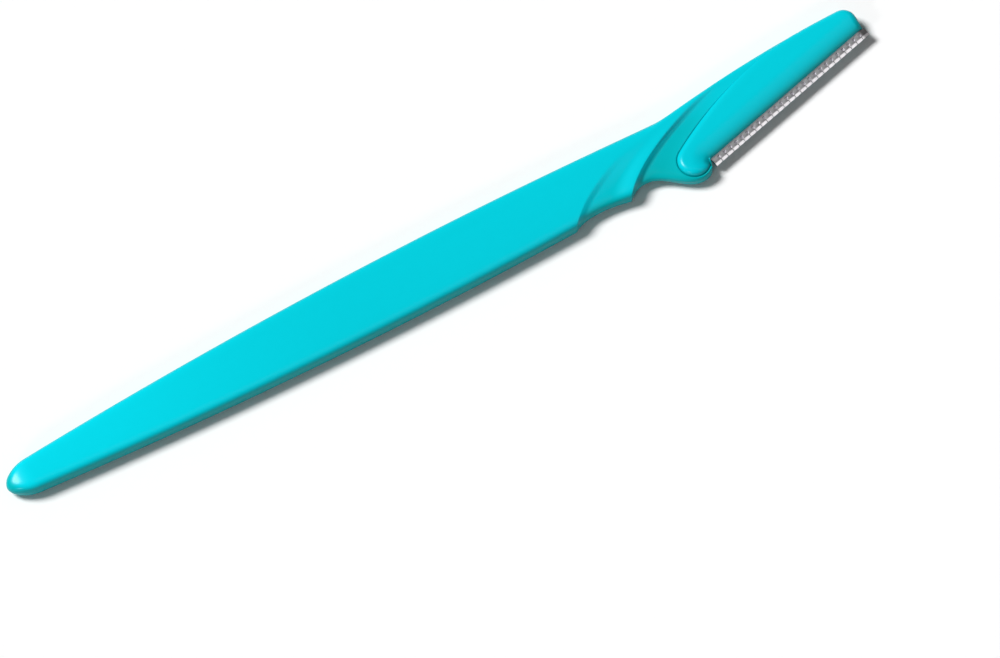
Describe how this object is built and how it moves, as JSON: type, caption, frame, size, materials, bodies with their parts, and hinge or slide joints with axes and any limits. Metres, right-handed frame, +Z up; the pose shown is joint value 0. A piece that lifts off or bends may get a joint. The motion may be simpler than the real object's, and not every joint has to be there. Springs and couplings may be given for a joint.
{
  "type": "eyebrow razor",
  "caption": "Slim hand razor for shaping eyebrows: a flat tapering plastic handle, and a slanted head that clamps a short straight blade behind a slotted steel guard.",
  "frame": {"origin": "middle of the razor's length and width, in the plane that the flat underside rests on", "axes": "+X along the handle from the tail to the head, +Y across it towards the back edge with the blade's edge at -Y, +Z up out of the face that carries the blade cover"},
  "size_m": [0.1508, 0.0142, 0.0036],
  "materials": {
    "handle_plastic": "moulded teal plastic, semi-gloss with a faint moulding texture",
    "cover_plastic": "moulded teal plastic, semi-gloss, the same as the handle",
    "blade_steel": "bright rolled strip with a ground edge",
    "guard_steel": "thin stamped steel, polished at the fold"
  },
  "bodies": {
    "root": {"handle": "handle_plastic", "blade_cover": "cover_plastic", "blade": "blade_steel", "edge_guard": "guard_steel"}
  },
  "joints": []
}
